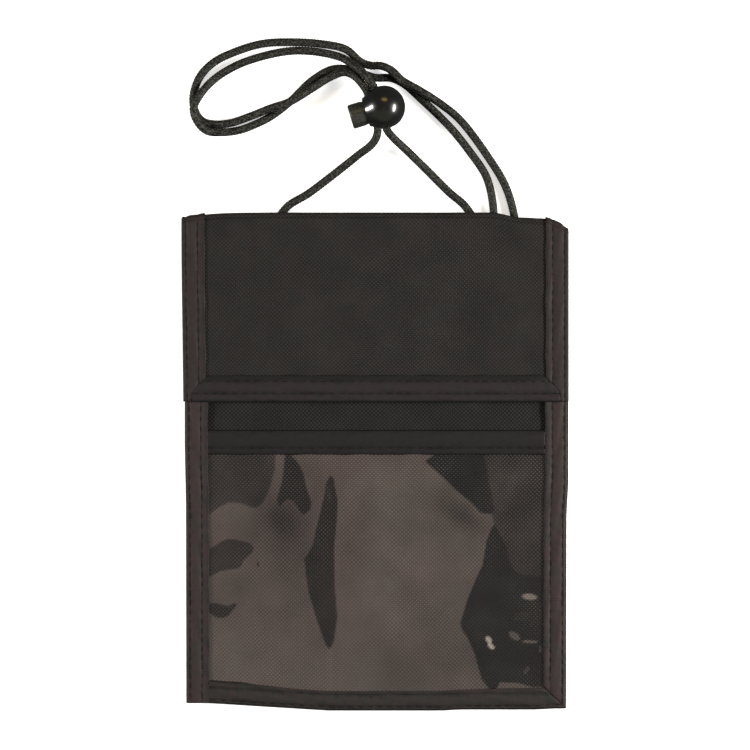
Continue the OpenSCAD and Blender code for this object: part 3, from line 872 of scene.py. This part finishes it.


# Dark patches, where the painted reflection is taken away and the vinyl dips: each with its
# outline, how much of the painted reflection goes, and over what width it goes.
DIPS_AND_PAINTED_DARK_PATCHES = [
    # the top left corner
    ([(-66.6, -21.9), (-62.1, -18.6), (-58.3, -16.7), (-53.7, -17), (-50.5, -18.3), (-47.6, -18.9),
      (-45, -17.3), (-42.4, -12.8), (-41.1, -8.9), (-39.5, -3.1), (-38.9, 6), (-70, 6),
      (-70, -22)], 0.55, 0.9),
    # a tongue with two points, below the mouth
    ([(-35.7, 6), (-32.8, 2.4), (-31.1, 0.7), (-29.5, -1.8), (-28.2, -5.1), (-27.3, -9.6), (-25.2, -16.7),
      (-25.8, -19.6), (-28.6, -21.7), (-30.2, -20.6), (-31.5, -18.3), (-33.1, -16.2), (-34.7, -15.3),
      (-36.6, -16.7), (-38.1, -18.4), (-39.2, -17.3), (-39.7, -14.8), (-37.6, -7.7),
      (-36.6, 0.1)], 0.72, 0.9),
    # a long blade
    ([(-18.2, -5.1), (-16.6, -6.4), (-15, -15.4), (-15.3, -23.8), (-16.4, -34.8), (-16.2, -48.3),
      (-15.1, -61.9), (-16.3, -70.3), (-17.3, -73.2), (-18.6, -74.5), (-20.2, -72.9), (-23.7, -63.2),
      (-26.8, -52.8), (-27.9, -47), (-28.7, -38.6), (-27.3, -36.7), (-25.3, -32.8), (-24.4, -28.3),
      (-20.5, -12.2), (-20.2, -8.9)], 0.74, 0.6),
    # two lobes at the left edge, and a spot
    ([(-70, -36), (-66.6, -34.8), (-61.5, -31.5), (-58.9, -30.4), (-53.1, -31.2), (-49.9, -32.2),
      (-48.2, -33.8), (-48.6, -36.1), (-52.4, -39.6), (-53, -41.5), (-54.4, -42.8), (-61.5, -43.8),
      (-66.3, -46.4), (-70, -47)], 0.6, 0.6),
    ([(-70, -56), (-62.8, -56.4), (-58.9, -57.4), (-56, -56.1), (-54.7, -57), (-56.3, -59.3),
      (-58.6, -62.2), (-61.5, -63.2), (-64.1, -62.5), (-66.6, -60.6), (-70, -60.5)], 0.6, 0.6),
    ([(-47.6, -40.9), (-46.8, -39.4), (-46, -40.9), (-46.8, -42.4)], 0.8, 0.5),
    # a triangle below the mouth, at the right
    ([(19, 0.4), (22.2, 2.5), (26.8, 6), (41.6, 6), (42.9, 0.1), (45.5, -12.8), (46.8, -19.3), (46.1, -21.2),
      (41, -20.6), (38.4, -17.3), (31.3, -11.5), (27.4, -7.7), (20.3, -1.2)], 1, 0.6),
    # the upper right, where only a little of the painted reflection is left
    ([(40.4, 6), (70, 6), (70, -48.5), (62, -48.2), (57, -47), (52.8, -44.8), (50.8, -40), (50.2, -35.6),
      (48.3, -31.9), (45.2, -21.4), (44.1, -12.8), (41.5, 0.1)], 0.55, 1.2),
    # the crumpled lower right
    ([(46.8, -24.4), (50.2, -31.1), (52.2, -35.1), (52.9, -39.4), (54.6, -43.2), (57.9, -44.8),
      (70, -46.6), (70, -90.2), (62.3, -89.9), (56.5, -88.3), (49.4, -87.8), (47.1, -91.6), (44.8, -90.6),
      (41.6, -86.4), (39, -76.7), (35.8, -69.6), (33.9, -67), (33.2, -64.1), (35.8, -55.4), (39.7, -45.7),
      (41.9, -41.2), (43.5, -31.5), (45.5, -26.4)], 1, 0.6),
]
# Painted glints on the crumples: middle, half length, half width, turn in degrees and strength.
GLINTS = [
    (60.8, -53.8, 3.1, 1.3, -6, 1.6), (44.6, -70.8, 1.6, 1.1, -50, 2.6), (45.6, -73.4, 1.6, 1, -40, 2.6),
    (54.8, -69.3, 2.6, 1.5, -35, 0.95), (61, -71.6, 3.2, 0.8, -3, 1.05), (65.3, -74.5, 0.8, 1.8, 0, 0.8),
    (59.6, -83, 2, 0.8, 55, 0.6), (57.5, -61.5, 3.5, 2, 20, 0.3), (-18.9, -12, 3.5, 0.8, -80, 0.25),
]
# Soft shadows below the tongue and the triangle, and dim patches: middle, half length, half
# width, turn in degrees and loss.
SHADOWS = [
    (-36, -24, 8, 6, 80, 0.3), (34, -21.5, 12, 5, -32, 0.38), (-36, -30, 28, 16, 90, 0.34),
    (22, -15, 9, 9, 0, 0.14), (52, -13, 10, 2.5, 72, -0.25), (-60, -76, 14, 12, 0, -0.12),
    (16, -80, 20, 13, 0, 0.2), (-10, -4, 10, 5, 0, -0.06), (-50, 0, 8, 6, 0, 0.1),
]


def turned(x, y, middle_x, middle_y, turn):
    """Places along and beside a line through a middle, at a turn in degrees."""
    c, s = math.cos(math.radians(turn)), math.sin(math.radians(turn))
    return (x - middle_x) * c + (y - middle_y) * s, (y - middle_y) * c - (x - middle_x) * s


def reflection_and_lift_kept(x, y, spread=1.0):
    """How much of its painted reflection, and of its lift off the cloth, the vinyl keeps at each place, from
    0 to 1.
    """
    kept = 1 + 0 * x
    for outline, loss, width in DIPS_AND_PAINTED_DARK_PATCHES:
        kept = kept * (1 - loss * ease(0, width * spread, inside_distance(x, y, outline)))
    return kept


def vinyl_painted_reflection(x, y):
    """The painted reflection at each place: patchy, with painted shadows, nearly gone in the dark patches,
    with painted glints.
    """
    painted_reflection = 1.02 - 0.1 * ease(5, 40, x) + 0.1 * np.exp(-((x + 18.5) / 1.2) ** 2) * ease(-73, -80, y)
    for middle_x, middle_y, length, width, turn, loss in SHADOWS:
        along, beside = turned(x, y, middle_x, middle_y, turn)
        painted_reflection = painted_reflection - loss * np.exp(-(along / length) ** 2 - (beside / width) ** 2)
    painted_reflection = painted_reflection * reflection_and_lift_kept(x, y)
    for middle_x, middle_y, length, width, turn, strength in GLINTS:
        along, beside = turned(x, y, middle_x, middle_y, turn)
        painted_reflection = painted_reflection + strength * ease(1.25, 0.75, np.hypot(along / length, beside / width))
    return painted_reflection


def vinyl_swell(x, y):
    """Height of the vinyl over where it is sewn: it stands off the cloth, dips in the dark patches,
    and is crumpled towards the lower right."""
    edge = np.minimum(body_in - abs(x), np.minimum(y - bottom_y - TAPE_W, window_y - WINDOW_TAPE_W - y))
    folds = np.sin((x * 0.8 + y * 0.6) / 2.9 + np.sin(y / 7)) * np.sin((x * 0.5 - y * 0.87) / 4.3 + 1)
    return (VINYL_BULGE * reflection_and_lift_kept(x, y, 7) + VINYL_CRUMPLE * ease(30, 50, x) * folds) * ease(0, 10, edge)


window_high = window_y - WINDOW_MOUTH_IN
window = panel("clear_window_sheet", sheet_x, sheet_low, window_high, window_z + VINYL_T / 2, VINYL_T,
    VINYL_CELL, vinyl_swell, ("painted_reflection", vinyl_painted_reflection))
vinyl_clear, shader = finish("clear_vinyl", (0.03, 0.027, 0.025), 0.3, IOR=1.8, Specular_IOR_Level=0.62,
    Alpha=0.5)
# The vinyl's colour carries a painted reflection of the light overhead, with painted shadows and painted
# glints, dimmed in blotches. The cloth's weave is painted in too, more strongly where the painted reflection
# is weak.
painted_reflection = add(vinyl_clear, "ShaderNodeAttribute", attribute_name="painted_reflection").outputs["Fac"]
here = on_object(vinyl_clear)
blotches = sum_up(vinyl_clear, "MULTIPLY", speckle(vinyl_clear, here, 70, 3), 0.3)
painted_reflection = sum_up(vinyl_clear, "MULTIPLY", painted_reflection, sum_up(vinyl_clear, "ADD", blotches, 0.8))
shows_through = weave(vinyl_clear, add(vinyl_clear, "ShaderNodeUVMap").outputs["UV"])
shows_through = sum_up(vinyl_clear, "SUBTRACT", shows_through, 0.55)
weave_gain = sum_up(vinyl_clear, "SUBTRACT", 1.9, sum_up(vinyl_clear, "MULTIPLY", painted_reflection, 3.6))
weave_gain = sum_up(vinyl_clear, "MAXIMUM", weave_gain, 0.85)
shows_through = sum_up(vinyl_clear, "MULTIPLY", shows_through, weave_gain)
painted_reflection = sum_up(vinyl_clear, "ADD", painted_reflection, shows_through)
painted_reflection = sum_up(vinyl_clear, "DIVIDE", painted_reflection, REFLECTION_TOP)
reflection_colours = two_tone(vinyl_clear, shader, painted_reflection, (0.001, 0.001, 0.001), (0.4, 0.36, 0.33))
reflection_colours.color_ramp.elements.new(1 / REFLECTION_TOP).color = (0.106, 0.081, 0.073, 1)
hues = speckle(vinyl_clear, here, 40, 3)
tint(vinyl_clear, shader, reflection_colours, hues, (1.03, 0.985, 0.995), (0.98, 1.015, 0.985))
settle(window, "clear_window", "wallet", vinyl_clear)
vinyl_half = (VINYL_T + TAPE_T) / 2
window_edge = edge_path(window_y, window_z + VINYL_T / 2, -1, False)
window_tape = tape("window_tape", window_edge, -body_in - 0.3, body_in, vinyl_half, [WINDOW_SEAM],
    WINDOW_TAPE_W, puff=0.3)
bind(window_tape, "window_binding", "wallet", mouth_tape_painted_shade)
window_row = (window_edge, WINDOW_SEAM, -body_in, body_in, vinyl_half + TAPE_T / 2 - STITCH_SUNK, 1)
sew(stitches("window_thread", [window_row]), "window_stitching", "wallet")


# Body binding: ribbed tape folded over the raw edges of all the layers and sewn through twice.
# The left tape ends square over the bottom one, and the right corner is a mitre.
body_half = (body_t - TAPE_T) / 2
body_mid = body_t / 2
body_stitched = body_half + TAPE_T / 2 - STITCH_SUNK
left_edge = edge_path(-body_x, body_mid, 1, True)
right_edge = edge_path(body_x, body_mid, -1, True)
bottom_edge = edge_path(bottom_y, body_mid, 1, False)
two_seams = [SEAM_OUTER, SEAM_INNER]
left_tape = tape("body_tape_left", left_edge, bottom_y, fold_y, body_half, two_seams)
right_tape = tape("body_tape_right", right_edge, bottom_y, fold_y, body_half, two_seams, start_cut=MITRE)


def drawn_in(x):
    """The bottom tape is turned over further at its left end than in the middle."""
    return 1.04 - 0.19 * ease(-64, -25, x) + 0.08 * ease(20, 60, x)


bottom_tape = tape("body_tape_bottom", bottom_edge, -body_in, body_x, body_half, two_seams, end_cut=MITRE,
    narrow=drawn_in)


def sewn_through(name, at, height, rows):
    """Lines of stitches seen on both faces of a tape, each row (inward, start, end)."""
    return stitches(name, [(at, *row, height, side) for row in rows for side in (1, -1)])


left_rows = [(seam, bottom_y + SEAM_OUTER, fold_y) for seam in two_seams]
left_thread = sewn_through("body_thread_left", left_edge, body_stitched, left_rows)
right_rows = [(seam, bottom_y + seam, fold_y) for seam in two_seams]
right_thread = sewn_through("body_thread_right", right_edge, body_stitched, right_rows)
bottom_rows = [(seam, -body_in, body_x - seam) for seam in (SEAM_OUTER, 0.87 * SEAM_INNER)]
bottom_thread = sewn_through("body_thread_bottom", bottom_edge, body_stitched, bottom_rows)
bind(left_tape, "body_binding_left", "wallet")
bind(right_tape, "body_binding_right", "wallet")
bind(bottom_tape, "body_binding_bottom", "wallet", low_tape_painted_shade)
sew(left_thread, "body_stitching_left", "wallet")
sew(right_thread, "body_stitching_right", "wallet")
sew(bottom_thread, "body_stitching_bottom", "wallet")


# Flap binding: the same tape down both sides of the flap, over the fold and along its lower
# edge, where it turns the corners in mitres.
FLAP_LOW_W, CORNER_STRIP, CORNER_RISE = 10.4, 2.8, 3.4
flap_mid = flap_z + CLOTH_T / 2
flap_seams = [FLAP_SEAM_LOW, FLAP_SEAM_HIGH]
strip_end = CORNER_STRIP + 0.01
cut_high, cut_far = CORNER_RISE + TAPE_W - CORNER_STRIP, CORNER_STRIP + FLAP_LOW_W - CORNER_RISE
side_cut = ((0, 0), (CORNER_STRIP, 0), (strip_end, CORNER_RISE), (TAPE_W, cut_high))
low_cut = ((0, CORNER_STRIP), (CORNER_RISE, CORNER_STRIP), (FLAP_LOW_W, cut_far))
fold_arc = np.pi * (fold_r - CLOTH_T / 2)
seam_starts = (0.6, CORNER_RISE + SEAM_INNER - CORNER_STRIP + 0.6)
side_rows = [(seam, flap_y + low, fold_y) for seam, low in zip(two_seams, seam_starts)]
flap_tapes, fold_tapes = [], []
for side, way in (("left", 1), ("right", -1)):
    edge = edge_path(-way * flap_x, flap_mid, way, True, flap_lean)
    piece = tape("flap_tape_" + side, edge, flap_y, fold_y, cloth_half, two_seams, start_cut=side_cut)
    bind(piece, "flap_binding_" + side, "flap", flap_tape_black)
    flap_tapes.append(piece)
    edge_round = fold_path(-way * flap_x, way)
    piece = tape("fold_tape_" + side, edge_round, 0, fold_arc, cloth_half, two_seams, cells=FOLD_CELLS)
    bind(piece, "fold_binding_" + side, None, flap_tape_black)
    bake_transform(piece)
    fold_tapes.append(piece)
    thread = sewn_through("flap_thread_" + side, edge, cloth_stitched, side_rows)
    sew(thread, "flap_stitching_" + side, "flap")
flap_low_edge = edge_path(flap_y, flap_mid, 1, False, flap_lean)
flap_low = tape("flap_tape_bottom", flap_low_edge, -flap_x, flap_x, cloth_half, flap_seams, FLAP_LOW_W,
    low_cut, low_cut)
bind(flap_low, "flap_binding_bottom", "flap", shaded_tape_black)
low_starts = zip(flap_seams, (CORNER_STRIP + 0.4, FLAP_SEAM_HIGH))
low_rows = [(low, -flap_x + from_corner, flap_x - from_corner) for low, from_corner in low_starts]
flap_low_thread = sewn_through("flap_thread_bottom", flap_low_edge, cloth_stitched, low_rows)
sew(flap_low_thread, "flap_stitching_bottom", "flap")


# Cord tabs: a short piece of tape over each sewn end of the cord, on the back below the fold.
# It is pressed round the cord, and its two wings lie against the back.
TAB_X, TAB_W, TAB_LEN, TAB_DROP, TAB_END = 41.5, 9, 12, 9.5, 1
tab_high, tab_low = top_y - TAB_DROP, top_y - TAB_DROP - TAB_LEN
tab_top = RISE + back_z


def cord_tab(name, x_middle):
    """A tab whose tape goes round the cord from below, and is shut at its lower end."""
    hug = CORD_WIDTH / 2 + TAPE_T / 2 + 0.05
    wing = TAB_W / 2 - hug
    drop = tab_top - TAPE_T / 2 - (tab_top / 2)
    quarter = np.pi * hug / 2
    length = 2 * wing + 2 * drop + np.pi * hug

    def place(u, v):
        far = (u - 0.5) * length
        way = np.sign(far)
        far = abs(far)
        on_arc = np.minimum(far, quarter)
        on_drop = np.clip(far - quarter, 0, drop)
        on_wing = np.maximum(far - quarter - drop, 0)
        x = hug * np.sin(on_arc / hug) + on_wing
        z = tab_top / 2 - hug * np.cos(on_arc / hug) + on_drop
        y = mix(tab_low, tab_high, v)
        shut = ease(tab_low + TAB_END, tab_low, y)
        z = mix(z, tab_top - TAPE_T / 2, shut * 0.9)
        z = np.maximum(z, TAPE_T / 2)
        return np.stack([x_middle + way * x, y, z], 1)

    def flat(u, v):
        return np.stack([(u - 0.5) * length, TAB_LEN * v], 1)

    return grid(name, 48, 30, place, flat, TAPE_T)


for side, x_middle in (("left", -TAB_X), ("right", TAB_X)):
    bind(cord_tab("back_tab_" + side, x_middle), "cord_tab_" + side, "wallet")
